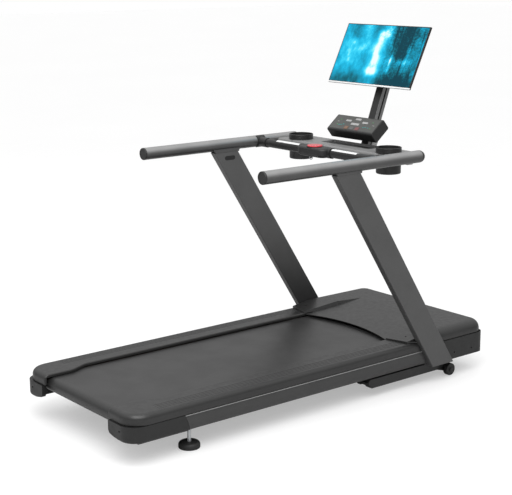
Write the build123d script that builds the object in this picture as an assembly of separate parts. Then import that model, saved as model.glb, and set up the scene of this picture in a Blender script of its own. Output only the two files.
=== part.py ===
from build123d import *
import os
from math import acos, atan2, cos, degrees, hypot, radians, sin, tan

# A motor-driven gym treadmill: running deck, two leaning uprights, straight
# handrails, tray with cup holders, console and a television on a pillar.
# Millimetres. +X is the user's right, +Y is forwards to the motor, +Z is up.
# The origin is on the floor, under the middle of the whole machine.

# ---- driving dimensions ---------------------------------------------------
REAR_Y = -1006.0            # rearmost point of the end caps
FRONT_Y = 1020.0            # front face of the skirt
ORIGIN_Y = (REAR_Y + FRONT_Y) / 2   # middle of the length, moved to Y 0 when saved
DECK_HALF = 420.0           # half of the deck's overall width
BELT_TOP = 200.0            # running surface above the floor
BELT_HALF = 280.0           # half of the running belt's width
BELT_T = 2.5                # running belt thickness
WALL = 3.5                  # wall of the moulded covers
STEEL_WALL = 3.0            # wall of the steel tubes

# side rails
RAIL_TOP = 168.0
RAIL_BOTTOM = 100.0
RAIL_DEPTH = 50.0
RAIL_FRONT = 640.0
RAIL_REAR_TOP = -742.0      # the rail starts on a slant behind the rear cap
RAIL_REAR_BOTTOM = -717.0
CORE_IN = 352.0             # inner frame member that runs on inside the covers
CORE_OUT = 396.0
CORE_BOTTOM = 92.0
CORE_TOP = 162.0
CORE_END = 985.0
CORE_REAR = -954.0
ADJUST_Y = -976.0           # plate that the belt adjusting bolts bear on
ADJUST_X = 338.0            # belt adjusting bolts beside the rear roller
LEDGE_IN = 300.0            # shelf that carries the deck board
LEDGE_Z = 150.0
LEDGE_T = 5.0
LEDGE_REAR = -880.0
LEDGE_FRONT = 480.0

# cross members between the rails
CROSS_Y = (-860.0, -400.0, 0.0, 290.0, 500.0, 960.0)
CROSS_W = 40.0
CROSS_BOTTOM = 92.0
CROSS_TOP = 114.0

# rollers
REAR_ROLLER_Y = -947.0
REAR_ROLLER_R = 30.0
FRONT_ROLLER_Y = 545.0
FRONT_ROLLER_R = 38.0
ROLLER_HALF = 292.0
AXLE_R = 8.5
BEARING_GAP = 0.05          # running clearance of a shaft in its bore
REAR_ROLLER_Z = BELT_TOP - BELT_T - REAR_ROLLER_R
FRONT_ROLLER_Z = BELT_TOP - BELT_T - FRONT_ROLLER_R

# deck board
DECK_T = 22.0
DECK_TOP = BELT_TOP - BELT_T - 0.4
DECK_X = 340.0
DECK_REAR = -900.0
DECK_FRONT = 486.0
PAD_R = 18.0
PAD_X = 320.0

# foot rail covers and rear caps
COVER_Z0 = 172.0
COVER_TOP = 216.0
COVER_IN = 288.0            # inner edge beside the belt
COVER_IN_REAR = 252.0       # inner edge over the belt's ends
COVER_FRONT = 600.0
JOG_FRONT = -774.0
JOG_REAR = -856.0
COVER_REAR = -998.0
CORNER_R = 88.0
COVER_EDGE_R = 24.0
GROOVE_X = (348.0, 362.0, 376.0, 390.0)    # fine grooves along the top
GROOVE_W = 6.0
GROOVE_DEPTH = 2.2
GROOVE_REAR = -850.0
BELT_CLEAR_Z = 203.0        # underside of whatever passes over the belt
CAP_IN = 262.0
CAP_CORNER_R = 68.0
CAP_RISE = 17.0             # the hook's lower edge slopes up towards its tip
CAP_SLOPE = 80.0
CAP_TOP = 169.5
CAP_BOTTOM = 100.0
CAP_EDGE_R = 14.0
CAP_LIP = 14.0              # width of the cap's upper edge
HOOK_Y = -986.0             # inner face of the cap's hook behind the belt
CAP_SCREW_X = 343.0
CAP_SCREW_Z = 143.0
SCREW_R = 4.5
SCREW_SINK = 3.4            # how deep the heads sit in their holes

# uprights: flat tubes that lean back towards the user
UPRIGHT_OUT = 442.0
UPRIGHT_T = 36.0
UPRIGHT_W = 117.0
UPRIGHT_LEAN = 32.5         # degrees from vertical
UPRIGHT_FOOT_Z = 87.0
UPRIGHT_FOOT_Y = 713.0      # middle of the tube at its foot
UPRIGHT_TOP_Z = 1046.0
UPRIGHT_CLEAR = 1.5         # gap in the covers round the tube

# handrails
RAIL_X = 427.0
HAND_Z = 1080.0
HAND_R = 27.5
HAND_WALL = 2.5
HAND_REAR = -357.0
HAND_FRONT = 532.0
CAP_LEN = 8.0
PLUG_Z = 1018.0             # cable opening near the upright's top
PLUG_LEN = 60.0
PLUG_H = 20.0
BOLT_R = 6.0
BOLT_Z = (118.0, 148.0)     # two rows of bolts through the upright's foot
BOLT_STEP = 32.0

# bar across the handrails, with the stop button
BAR_Y = 310.0
BAR_Z = 1078.0
BAR_R = 20.0
BAR_HALF = 392.0
PLATE_IN = 112.0
PLATE_OUT = 275.0
COLLAR_W = 48.0
COLLAR_R = 30.5
COLLAR_STUB_R = 23.0
STOP_Y = 298.0
STOP_HALF = 95.0
STOP_TOP = 1100.0
STOP_BOTTOM = 1056.0
STOP_R = 35.0
STEM_R = 8.0                # stem of the stop button
SLEEVE_T = 4.0              # sleeves at the housing's ends
SLEEVE_OUT = 12.0
HOOK_X = -14.0              # lanyard hook
HOOK_R = 9.0

# tray
TRAY_HALF = 399.0
TRAY_REAR = 410.0
TRAY_FRONT = 588.0
TRAY_TOP = 1089.0
TRAY_BOTTOM = 1065.0
TRAY_EDGE_R = 11.0
CUP_X = 299.5
CUP_Y = 472.5
CUP_R = 56.0
CUP_RIM_R = 58.0
CUP_TOP = 1114.0
CUP_BOTTOM = 996.0
CUP_WALL = 2.5
POCKET_HALF = 165.0
POCKET_REAR = 478.0
POCKET_FRONT = 572.0
POCKET_DEPTH = 13.0
BEAM_BOTTOM = 1043.0
BEAM_FRONT = 587.0
FOOT_HALF = 55.0            # half width of the pillar's foot

# console
CONSOLE_HALF = 152.0
CONSOLE_H = 94.5            # height of the face
CONSOLE_T = 56.0
CONSOLE_CHIN = 6.0          # housing below the face's lower edge
CONSOLE_LOW = (509.0, 1154.0)   # lower edge of the face, (Y, Z)
CONSOLE_TILT = 50.6         # face from vertical
KEY_W = 24.0
KEY_H = 18.0
KEY_V = 17.0                # keys above the face's lower edge
KEY_X = (-36.0, 0.0, 36.0)
PANEL_T = 1.5
PANEL_RIM = 6.0             # housing left round the key panel

# pillar and television
PILLAR_W = 46.0
PILLAR_D = 44.0
PILLAR_LEAN = 20.3
PILLAR_FOOT = (606.0, 1080.0)   # user's side of the pillar at its foot, (Y, Z)
PILLAR_LEN = 455.0
TV_W = 545.0
TV_H = 304.0
TV_T = 10.0
TV_TILT = 25.9
TV_Y = 686.0
TV_Z = 1493.0
TILT_PIN_BACK = 52.0        # tilt pin behind the screen's face
TILT_PIN_R = 6.0
TV_CHIN = 9.0               # frame under the screen

# hood over the motor
HOOD_TOP = 250.0
HOOD_HALF = 417.0
HOOD_BOTTOM = 191.0
HOOD_REAR = 470.0
NOSE_FALL = 3.0             # the top falls this much towards the front
HOOD_CORNER_R = 62.0
HOOD_EDGE_R = 46.0
HOOD_NOSE_Y = 1019.0
ARC_MID_Y = 537.0           # rear edge of the hood, middle and ends of its arc
ARC_END_Y = 491.0
ARC_HALF = 280.0
SCOOP_REAR_Z = 212.0
SCOOP_HALF_REAR = 288.0
SCOOP_HALF_FRONT = 213.0
SCOOP_FRONT_Y = 840.0
SCOOP_DRAFT = 22.0          # slant of the scoop's side walls, degrees
WING_SEAM = ((284.0, 483.0), (244.0, 690.0))    # joint with the hood, in plan
WING_SIDE = 403.0
WING_CORNER = (391.0, 507.0)
WING_TIP = ((419.0, 553.0), (419.0, 575.0))
WING_REAR_Z = 222.0
WING_FRONT_Z = 250.0
SKIRT_TOP = 188.0
SKIRT_BOTTOM = 90.0
SKIRT_REAR = 646.0
SKIRT_CORNER_R = 45.0
SKIRT_SCREW_Y = (810.0, 928.0)
SKIRT_SCREW_Z = 120.0
WING_SCREW_X = 352.0
WING_SCREW_Y = 552.0
INLET_X = -250.0            # mains inlet in the skirt's front
INLET_Z = 136.0
INLET_HALF = 25.0
INLET_TALL = 16.0           # half height of the inlet's flange
SWITCH_X = -200.0
SWITCH_HALF = 11.0
SWITCH_PIN_Y = FRONT_Y - 8.5

# lift frame: carries the front wheels and tilts the deck
LIFT_Y = 290.0
LIFT_Z = 72.0
LIFT_PIN_R = 15.0
ARM_OUT = 400.0
ARM_IN = 362.0
ARM_TOP = 90.0
ARM_BOTTOM = 48.0
WHEEL_Y = 814.0
WHEEL_Z = 29.0
WHEEL_R = 29.0
WHEEL_X = 385.0
WHEEL_W = 26.0
WHEEL_AXLE_R = 6.0
LUG_Y = 628.0
LUG_Z = 78.0
LIFT_X = 150.0
TRUNNION_Y = 958.0
TRUNNION_Z = 200.0
EYE_R = 13.5                # loose eye at the open pivot
ROD_R = 14.0
TIE_Y = 690.0               # tube that ties the two arms together
TIE_Z = 63.0
TIE_R = 16.0
ACT_START = 44.0            # actuator housing, measured from the trunnion
ACT_END = 200.0
ACT_R = 26.0

# motor
MOTOR_Y = 765.0
MOTOR_Z = 176.0
MOTOR_R = 60.0
PULLEY_X = -319.0
PULLEY_W = 28.0
ROLLER_PULLEY_R = 45.0
MOTOR_PULLEY_R = 22.5
DRIVE_BELT_T = 3.0
MOTOR_X0 = -280.0
MOTOR_X1 = -30.0
MOTOR_BED_X = 10.0
SHAFT_R = 8.0

# levelling feet
FOOT_X = 352.0
FOOT_Y = -680.0
FOOT_R = 45.0
STUD_R = 7.5
PAD_H = 27.0                # height of the foot's rubber pad
NUT_Z = 78.0                # lock nut on the stud
STUD_TOP = 128.0


# ---- helpers --------------------------------------------------------------
def block(x0, x1, y0, y1, z0, z1):
    """Axis-aligned block between two corners."""
    centre = Pos((x0 + x1) / 2, (y0 + y1) / 2, (z0 + z1) / 2)
    return centre * Box(x1 - x0, y1 - y0, z1 - z0)


def bar_x(x0, x1, y, z, r):
    """Round bar along X."""
    return Pos((x0 + x1) / 2, y, z) * Rot(0, 90, 0) * Cylinder(r, x1 - x0)


def bar_y(x, y0, y1, z, r):
    """Round bar along Y."""
    return Pos(x, (y0 + y1) / 2, z) * Rot(90, 0, 0) * Cylinder(r, y1 - y0)


def bar_z(x, y, z0, z1, r):
    """Round bar along Z."""
    return Pos(x, y, (z0 + z1) / 2) * Cylinder(r, z1 - z0)


def side_prism(points, x0, x1):
    """Outline in (Y, Z) carried along X from x0 to x1."""
    face = make_face(Polyline(*points, close=True))
    return extrude(Plane.YZ.offset(x0) * face, x1 - x0)


def plan_prism(face, z0, z1):
    """Plan outline carried up from z0 to z1."""
    return extrude(Pos(0, 0, z0) * face, z1 - z0)


def other_side(shape):
    """The same shape on the other side of the machine."""
    return mirror(shape, about=Plane.YZ)


def both(shape):
    """A shape and its mirror image."""
    return [shape, other_side(shape)]


def save(name, *shapes):
    """Write one node, as the separate solids in shapes."""
    moved = [Pos(0, -ORIGIN_Y, 0) * shape for shape in shapes]
    solids = [s for shape in moved for s in shape.solids()]
    body = solids[0] if len(solids) == 1 else Compound(children=solids)
    export_step(body, f"parts/{name}.step")


def loop_face(c1, r1, c2, r2):
    """The area inside a belt stretched round two circles, in (Y, Z)."""
    dy = c2[0] - c1[0]
    dz = c2[1] - c1[1]
    heading = atan2(dz, dy)
    swing = acos((r1 - r2) / hypot(dy, dz))
    corners = []
    for centre, r, signs in ((c1, r1, (1, -1)), (c2, r2, (-1, 1))):
        for sign in signs:
            angle = heading + sign * swing
            corners.append((centre[0] + r * cos(angle), centre[1] + r * sin(angle)))
    quad = make_face(Polyline(*corners, close=True))
    return quad + Pos(*c1) * Circle(r1) + Pos(*c2) * Circle(r2)


def belt_loop(c1, r1, c2, r2, thick, x0, x1):
    """A flat belt stretched round two pulleys."""
    ring = loop_face(c1, r1 + thick, c2, r2 + thick) - loop_face(c1, r1, c2, r2)
    return extrude(Plane.YZ.offset(x0) * ring, x1 - x0)


def lean_y(z):
    """Y of the upright's middle line at height z."""
    return UPRIGHT_FOOT_Y - (z - UPRIGHT_FOOT_Z) * tan(radians(UPRIGHT_LEAN))


def upright_prism(grow, x0, x1, z0, z1):
    """Leaning slab with the upright's outline, grown all round."""
    half = (UPRIGHT_W / 2 + grow) / cos(radians(UPRIGHT_LEAN))
    low = lean_y(z0)
    high = lean_y(z1)
    points = [(low - half, z0), (low + half, z0), (high + half, z1), (high - half, z1)]
    return side_prism(points, x0, x1)


def upright_room():
    """Space kept clear of the covers round the right upright."""
    return upright_prism(UPRIGHT_CLEAR, UPRIGHT_OUT - UPRIGHT_T - UPRIGHT_CLEAR,
                         UPRIGHT_OUT + 10, 60, 400)


def rounded(face, corners, r):
    """Round the plan corners of face that lie nearest to the given points."""
    picked = [face.vertices().sort_by_distance(Vector(*c, 0))[0] for c in corners]
    return fillet(picked, r)


# ---- frame ----------------------------------------------------------------
def slant(gap, z0, z1):
    """Everything behind the slanted joint between rear cap and side rail."""
    slope = (RAIL_REAR_TOP - RAIL_REAR_BOTTOM) / (RAIL_TOP - RAIL_BOTTOM)
    low = RAIL_REAR_BOTTOM + slope * (z0 - RAIL_BOTTOM) + gap
    high = RAIL_REAR_BOTTOM + slope * (z1 - RAIL_BOTTOM) + gap
    return side_prism([(REAR_Y - 50, z0), (low, z0), (high, z1), (REAR_Y - 50, z1)], 0, 500)


def side_rail():
    """Right-hand rail: bowed box section, with the inner frame member."""
    x_in = DECK_HALF - RAIL_DEPTH
    bow = ThreePointArc((DECK_HALF - 14, RAIL_BOTTOM), (DECK_HALF - 1, RAIL_BOTTOM + 28),
                        (DECK_HALF - 3, RAIL_TOP))
    outline = bow + Polyline((DECK_HALF - 3, RAIL_TOP), (x_in, RAIL_TOP),
                             (x_in, RAIL_BOTTOM), (DECK_HALF - 14, RAIL_BOTTOM))
    section = make_face(outline)
    length = RAIL_FRONT - RAIL_REAR_TOP
    start = Plane.XZ.offset(-RAIL_REAR_TOP)
    rail = extrude(start * section, -length)
    hollow = block(x_in + STEEL_WALL, DECK_HALF - 14, RAIL_REAR_TOP - 1, RAIL_FRONT + 1,
                   RAIL_BOTTOM + STEEL_WALL, RAIL_TOP - STEEL_WALL)
    rail = rail - hollow - slant(0, 60, 200)
    lip = block(DECK_HALF - 5, DECK_HALF, RAIL_REAR_TOP + 4, RAIL_FRONT, RAIL_TOP - 2, RAIL_TOP)
    core = block(CORE_IN, CORE_OUT, CORE_REAR, CORE_END, CORE_BOTTOM, CORE_TOP)
    core -= block(CORE_IN + STEEL_WALL, CORE_OUT - STEEL_WALL, CORE_REAR - 1, CORE_END + 1,
                  CORE_BOTTOM + STEEL_WALL, CORE_TOP - STEEL_WALL)
    core -= block(CORE_IN - 1, CORE_OUT + 1, RAIL_REAR_BOTTOM + 1, RAIL_FRONT - 20,
                  CORE_BOTTOM - 1, CORE_TOP + 1)
    ledge = block(LEDGE_IN, CORE_IN + 20, LEDGE_REAR, LEDGE_FRONT, LEDGE_Z, LEDGE_Z + LEDGE_T)
    boss = block(FOOT_X - 20, x_in + 1, FOOT_Y - 20, FOOT_Y + 20, RAIL_BOTTOM, RAIL_BOTTOM + 22)
    boss -= bar_z(FOOT_X, FOOT_Y, RAIL_BOTTOM - 1, RAIL_TOP, STUD_R + BEARING_GAP)
    plate = upright_prism(12, UPRIGHT_OUT - UPRIGHT_T - 12, UPRIGHT_OUT - UPRIGHT_T,
                          CORE_BOTTOM, RAIL_TOP)
    rail = rail + lip + core + ledge + boss
    rail -= upright_prism(UPRIGHT_CLEAR, UPRIGHT_OUT - UPRIGHT_T, UPRIGHT_OUT + 10, 60, 400)
    rail += plate
    for hole in foot_bolts(BEARING_GAP):
        rail -= hole
    bracket = block(ADJUST_X - 12, CORE_IN + 3, ADJUST_Y, ADJUST_Y + 5, CORE_TOP - 30,
                    REAR_ROLLER_Z + 10)
    bracket += block(CORE_IN, CORE_IN + 3, ADJUST_Y, CORE_REAR + 1, CORE_TOP - 30, CORE_TOP)
    return rail + (bracket - adjusting_bolt(BEARING_GAP))


def cross_members():
    """Tubes between the rails, the lift pivot's ears among them."""
    tubes = []
    for y in CROSS_Y:
        inside = abs(y) < -RAIL_REAR_BOTTOM
        half = DECK_HALF - RAIL_DEPTH if inside else CORE_IN
        tube = block(-half, half, y - CROSS_W / 2, y + CROSS_W / 2, CROSS_BOTTOM, CROSS_TOP)
        tube -= block(-half - 1, half + 1, y - CROSS_W / 2 + STEEL_WALL,
                      y + CROSS_W / 2 - STEEL_WALL, CROSS_BOTTOM + STEEL_WALL,
                      CROSS_TOP - STEEL_WALL)
        if y == LIFT_Y:
            ear = block(325, 335, y - CROSS_W / 2, y + CROSS_W / 2, LIFT_Z, CROSS_BOTTOM)
            ear += bar_x(325, 335, LIFT_Y, LIFT_Z, CROSS_W / 2)
            ear -= bar_x(320, 340, LIFT_Y, LIFT_Z, LIFT_PIN_R + BEARING_GAP)
            tube = tube + ear + other_side(ear)
        if y == max(CROSS_Y):
            for side in (-1, 1):
                x = LIFT_X + side * 25
                cheek = block(x - 4, x + 4, y - CROSS_W / 2, y + CROSS_W / 2,
                              CROSS_TOP, TRUNNION_Z)
                cheek += bar_x(x - 4, x + 4, TRUNNION_Y, TRUNNION_Z, 18)
                tube += cheek
            tube += bar_x(LIFT_X - 21, LIFT_X + 21, TRUNNION_Y, TRUNNION_Z, 8)
        tubes.append(tube)
    bed = block(-CORE_IN, MOTOR_BED_X, MOTOR_Y - 80, MOTOR_Y + 80, CROSS_TOP - 8, CROSS_TOP)
    spine = block(MOTOR_BED_X - 30, MOTOR_BED_X, CROSS_Y[-2] + CROSS_W / 2,
                  CROSS_Y[-1] - CROSS_W / 2, CROSS_BOTTOM, CROSS_TOP)
    tubes.append(bed + spine)
    return tubes


# ---- deck, rollers and belt -----------------------------------------------
def deck_board():
    """Board under the belt."""
    return block(-DECK_X, DECK_X, DECK_REAR, DECK_FRONT, DECK_TOP - DECK_T, DECK_TOP)


def deck_cushions():
    """Rubber cushions between the rails' shelves and the board."""
    pads = []
    for y in (-820.0, -520.0, -220.0, 80.0, 380.0):
        pad = bar_z(PAD_X, y, LEDGE_Z + LEDGE_T, DECK_TOP - DECK_T, PAD_R)
        pad -= Pos(PAD_X, y, (LEDGE_Z + LEDGE_T + DECK_TOP - DECK_T) / 2) * Torus(PAD_R + 2, 5)
        pads += both(pad)
    return pads


def roller(y, z, r):
    """Crowned steel tube with a bored bearing hub at each end."""
    tube = bar_x(-ROLLER_HALF, ROLLER_HALF, y, z, r)
    tube -= bar_x(-ROLLER_HALF + 18, ROLLER_HALF - 18, y, z, r - 4)
    return tube - bar_x(-ROLLER_HALF - 60, ROLLER_HALF + 60, y, z, AXLE_R + BEARING_GAP)


def grooved_pulley(x0, x1, y, z, r, bore):
    """Pulley with ribs for a multi-rib belt."""
    wheel = bar_x(x0, x1, y, z, r)
    for x in (x0 + 1, x1 - 3):
        wheel += bar_x(x, x + 2, y, z, r + 2)
    return wheel - bar_x(x0 - 1, x1 + 1, y, z, bore)


def front_roller():
    """Driven roller with its pulley on the left end."""
    tube = roller(FRONT_ROLLER_Y, FRONT_ROLLER_Z, FRONT_ROLLER_R)
    x0 = PULLEY_X - PULLEY_W / 2
    x1 = PULLEY_X + PULLEY_W / 2
    wheel = bar_x(x0, x1, FRONT_ROLLER_Y, FRONT_ROLLER_Z, ROLLER_PULLEY_R)
    hub = bar_x(x1, -ROLLER_HALF, FRONT_ROLLER_Y, FRONT_ROLLER_Z, 24)
    bore = bar_x(x0 - 1, -ROLLER_HALF + 1, FRONT_ROLLER_Y, FRONT_ROLLER_Z, AXLE_R + BEARING_GAP)
    return tube + (wheel + hub - bore)


def roller_axles():
    """Fixed axles that the two rollers turn on."""
    front_half = DECK_HALF - RAIL_DEPTH
    return [bar_x(-front_half, front_half, FRONT_ROLLER_Y, FRONT_ROLLER_Z, AXLE_R),
            bar_x(-CORE_IN, CORE_IN, REAR_ROLLER_Y, REAR_ROLLER_Z, AXLE_R)]


def adjusting_bolt(grow):
    """Bolt that pulls the rear axle back, on the right."""
    shank = bar_y(ADJUST_X, ADJUST_Y - 9, REAR_ROLLER_Y - AXLE_R, REAR_ROLLER_Z, 4 + grow)
    if grow:
        return shank
    return shank + bar_y(ADJUST_X, ADJUST_Y - 15, ADJUST_Y - 9, REAR_ROLLER_Z, 7)


def running_belt():
    """The endless running belt at rest."""
    return belt_loop((REAR_ROLLER_Y, REAR_ROLLER_Z), REAR_ROLLER_R + 0.3,
                     (FRONT_ROLLER_Y, FRONT_ROLLER_Z), FRONT_ROLLER_R + 0.3,
                     BELT_T - 0.3, -BELT_HALF, BELT_HALF)


# ---- foot rail covers and rear caps ---------------------------------------
def cover_plan(inset, x_in, x_in_rear, y_rear, y_front, corner_r):
    """Plan of the right foot rail, with the step in over the belt's end."""
    x_out = DECK_HALF - inset
    rear = y_rear + inset
    points = [(x_in + inset, y_front), (x_out, y_front), (x_out, rear),
              (x_in_rear + inset, rear), (x_in_rear + inset, JOG_REAR),
              (x_in + inset, JOG_FRONT)]
    face = make_face(Polyline(*points, close=True))
    face = rounded(face, [(x_out, rear)], corner_r - inset)
    if x_in == x_in_rear:
        return face
    return rounded(face, [(x_in_rear + inset, JOG_REAR), (x_in + inset, JOG_FRONT)], 60)


def cover_block(inset, z0):
    """Foot rail cover as a full block with its rounded top edges."""
    plan = cover_plan(inset, COVER_IN, COVER_IN_REAR, COVER_REAR, COVER_FRONT + 10, CORNER_R)
    solid = plan_prism(plan, z0, COVER_TOP - inset)
    edges = solid.edges().filter_by(lambda e: e.center().Z > COVER_TOP - inset - 0.1)
    edges = edges.filter_by(lambda e: e.center().Y < COVER_FRONT)
    outer = edges.filter_by(lambda e: e.center().X > COVER_IN + 20)
    rear = edges.filter_by(lambda e: e.center().Y < COVER_REAR + 30)
    picked = list({hash(e): e for e in list(outer) + list(rear)}.values())
    solid = fillet(picked, COVER_EDGE_R - inset)
    inner = solid.edges().filter_by(lambda e: e.center().Z > COVER_TOP - inset - 0.1)
    inner = inner.filter_by(lambda e: e.center().X < COVER_IN + 12)
    inner = inner.filter_by(lambda e: -980 < e.center().Y < COVER_FRONT)
    return fillet(inner, 6)


def foot_rail():
    """Right foot rail cover: a shell over the side rail."""
    shell = cover_block(0, COVER_Z0) - cover_block(WALL, COVER_Z0 - 1)
    shell -= block(0, COVER_IN + 50, HOOK_Y, COVER_FRONT + 20, COVER_Z0 - 5, BELT_CLEAR_Z)
    shell -= block(0, 500, COVER_FRONT, COVER_FRONT + 30, COVER_Z0 - 5, COVER_TOP + 5)
    for x in GROOVE_X:
        shell -= groove(x)
    return shell - upright_room()


def groove(x):
    """One fine groove of V section along the top of the right foot rail."""
    half = GROOVE_W / 2
    outline = [(x - half, COVER_TOP), (x, COVER_TOP - GROOVE_DEPTH), (x + half, COVER_TOP)]
    face = make_face(Polyline(*outline, close=True))
    return extrude(Plane.XZ.offset(-COVER_FRONT - 1) * face, COVER_FRONT + 1 - GROOVE_REAR)


def cap_plan(inset):
    """Plan of the right rear cap."""
    return cover_plan(inset, CAP_IN, CAP_IN, REAR_Y, RAIL_REAR_BOTTOM + 40, CAP_CORNER_R)


def cap_block(inset):
    """Rear cap as a full block with its rounded lower edge, sloping at the hook."""
    low = CAP_BOTTOM + inset
    solid = plan_prism(cap_plan(inset), low, CAP_TOP + inset)
    edges = solid.edges().filter_by(lambda e: e.center().Z < low + 0.1)
    outer = edges.filter_by(lambda e: e.center().X > 415 - inset)
    rear = edges.filter_by(lambda e: e.center().Y < REAR_Y + 60)
    picked = list({hash(e): e for e in list(outer) + list(rear)}.values())
    solid = fillet(picked, CAP_EDGE_R - inset)
    slope = make_face(Polyline((0, low - 1), (0, low + CAP_RISE + 12), (CAP_IN, low + CAP_RISE + 12),
                               (CAP_IN + 8, low + CAP_RISE), (CAP_IN + CAP_SLOPE, low),
                               (CAP_IN + CAP_SLOPE, low - 1), close=True))
    return solid - extrude(Plane.XZ.offset(-HOOK_Y - 1) * slope, HOOK_Y - REAR_Y + 3)


def rear_cap():
    """Right rear cap: a shell that hooks round the end of the belt."""
    shell = cap_block(0) - cap_block(WALL)
    shell += plan_prism(cap_plan(1) - cap_plan(CAP_LIP), CAP_TOP - WALL, CAP_TOP)
    shell &= slant(-1.0, CAP_BOTTOM - 1, CAP_TOP + 1)
    shell -= block(0, LEDGE_IN + 20, HOOK_Y, 0, CAP_BOTTOM - 5, CAP_TOP + 5)
    opening = plan_prism(cap_plan(CAP_EDGE_R + 2), CAP_BOTTOM - 5, CAP_BOTTOM + WALL + 1)
    shell -= opening & block(0, CORE_OUT + 2, HOOK_Y, 0, 0, CAP_TOP)
    shell += cap_block(0) & block(0, LEDGE_IN + 20, HOOK_Y - WALL, HOOK_Y, 0, CAP_TOP)
    return shell - bar_y(CAP_SCREW_X, REAR_Y - 5, REAR_Y + 30, CAP_SCREW_Z, SCREW_R)


def cover_screws():
    """Screw heads sunk in the covers."""
    head_r = SCREW_R - 0.1
    heads = []
    for y in SKIRT_SCREW_Y:
        heads += both(bar_x(DECK_HALF - 9, DECK_HALF - SCREW_SINK, y, SKIRT_SCREW_Z, head_r))
    heads += both(bar_y(CAP_SCREW_X, REAR_Y + SCREW_SINK, REAR_Y + 10, CAP_SCREW_Z, head_r))
    top = wing_top(WING_SCREW_Y)
    heads += both(bar_z(WING_SCREW_X, WING_SCREW_Y, top - 10, top - SCREW_SINK, head_r))
    return heads


# ---- uprights and handrails -----------------------------------------------
def upright():
    """Right upright: rectangular tube, closed at its foot."""
    x0 = UPRIGHT_OUT - UPRIGHT_T
    tube = upright_prism(0, x0, UPRIGHT_OUT, UPRIGHT_FOOT_Z, UPRIGHT_TOP_Z)
    long_edges = tube.edges().filter_by(lambda e: abs(e.tangent_at(0.5).X) < 0.01)
    long_edges = long_edges.filter_by(lambda e: e.length > 500)
    tube = fillet(long_edges, 4)
    inside = upright_prism(-STEEL_WALL, x0 + STEEL_WALL, UPRIGHT_OUT - STEEL_WALL,
                           UPRIGHT_FOOT_Z + STEEL_WALL, UPRIGHT_TOP_Z + 20)
    tube -= inside
    tube -= plug_slot(x0 - 1, x0 + STEEL_WALL + 1, 0)
    for hole in foot_bolts(BEARING_GAP):
        tube -= hole
    return tube


def plug_slot(x0, x1, grow):
    """Obround through the upright's inner wall."""
    y = lean_y(PLUG_Z) + 2
    half = PLUG_LEN / 2 - PLUG_H / 2
    r = PLUG_H / 2 + grow
    slot = block(x0, x1, y - half, y + half, PLUG_Z - r, PLUG_Z + r)
    return slot + bar_x(x0, x1, y - half, PLUG_Z, r) + bar_x(x0, x1, y + half, PLUG_Z, r)


def upright_plug():
    """Plastic plug that closes the cable opening."""
    x0 = UPRIGHT_OUT - UPRIGHT_T
    return plug_slot(x0 - 0.8, x0 + STEEL_WALL, -0.1)


def foot_bolt(y, z, grow):
    """Bolt through the core, the plate and the upright's inner wall."""
    x0 = UPRIGHT_OUT - UPRIGHT_T
    shank = bar_x(CORE_OUT - STEEL_WALL, x0 + STEEL_WALL, y, z, BOLT_R + grow)
    if grow:
        return shank
    return (shank + bar_x(CORE_OUT - STEEL_WALL - 7, CORE_OUT - STEEL_WALL, y, z, 9)
            + bar_x(x0 + STEEL_WALL, x0 + STEEL_WALL + 6, y, z, 9))


def foot_bolts(grow):
    """All four bolts of the right upright's foot."""
    return [foot_bolt(lean_y(z) + side * BOLT_STEP, z, grow)
            for z in BOLT_Z for side in (-1, 1)]


def handrail_saddle():
    """Cradle between the upright's top and the handrail."""
    middle = lean_y(UPRIGHT_TOP_Z)
    half = UPRIGHT_W / 2 / cos(radians(UPRIGHT_LEAN)) + 9
    x0 = UPRIGHT_OUT - UPRIGHT_T - 1
    x1 = UPRIGHT_OUT + 1
    top = HAND_Z - 12
    points = [(middle - half + 16, UPRIGHT_TOP_Z), (middle + half - 4, UPRIGHT_TOP_Z),
              (middle + half, top), (middle - half, top)]
    return side_prism(points, x0, x1) - bar_y(RAIL_X, -600, 700, HAND_Z, HAND_R)


def handrail():
    """Right handrail tube."""
    tube = bar_y(RAIL_X, HAND_REAR + CAP_LEN, HAND_FRONT, HAND_Z, HAND_R)
    return tube - bar_y(RAIL_X, HAND_REAR, HAND_FRONT + 1, HAND_Z, HAND_R - HAND_WALL)


def handrail_caps():
    """Plugs in the handrail's ends: dished at the rear, domed at the front."""
    rear = bar_y(RAIL_X, HAND_REAR, HAND_REAR + CAP_LEN, HAND_Z, HAND_R)
    rear = fillet(rear.edges().filter_by(lambda e: e.center().Y < HAND_REAR + 1), 3)
    rear += bar_y(RAIL_X, HAND_REAR + CAP_LEN, HAND_REAR + 30, HAND_Z, HAND_R - HAND_WALL)
    rear -= bar_y(RAIL_X, HAND_REAR - 1, HAND_REAR + 1.5, HAND_Z, HAND_R - 6)
    front = Pos(RAIL_X, HAND_FRONT, HAND_Z) * Sphere(HAND_R)
    front &= block(RAIL_X - 40, RAIL_X + 40, HAND_FRONT, HAND_FRONT + 40, HAND_Z - 40, HAND_Z + 40)
    front += bar_y(RAIL_X, HAND_FRONT - 22, HAND_FRONT, HAND_Z, HAND_R - HAND_WALL)
    return both(rear) + both(front)


# ---- cross bar and stop button --------------------------------------------
def crossbar():
    """Tube between the handrails."""
    tube = bar_x(-BAR_HALF, BAR_HALF, BAR_Y, BAR_Z, BAR_R)
    tube -= bar_x(-BAR_HALF - 1, BAR_HALF + 1, BAR_Y, BAR_Z, BAR_R - HAND_WALL)
    return tube - bar_z(0, STOP_Y, BAR_Z, BAR_Z + 30, STEM_R + 1)


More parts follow.
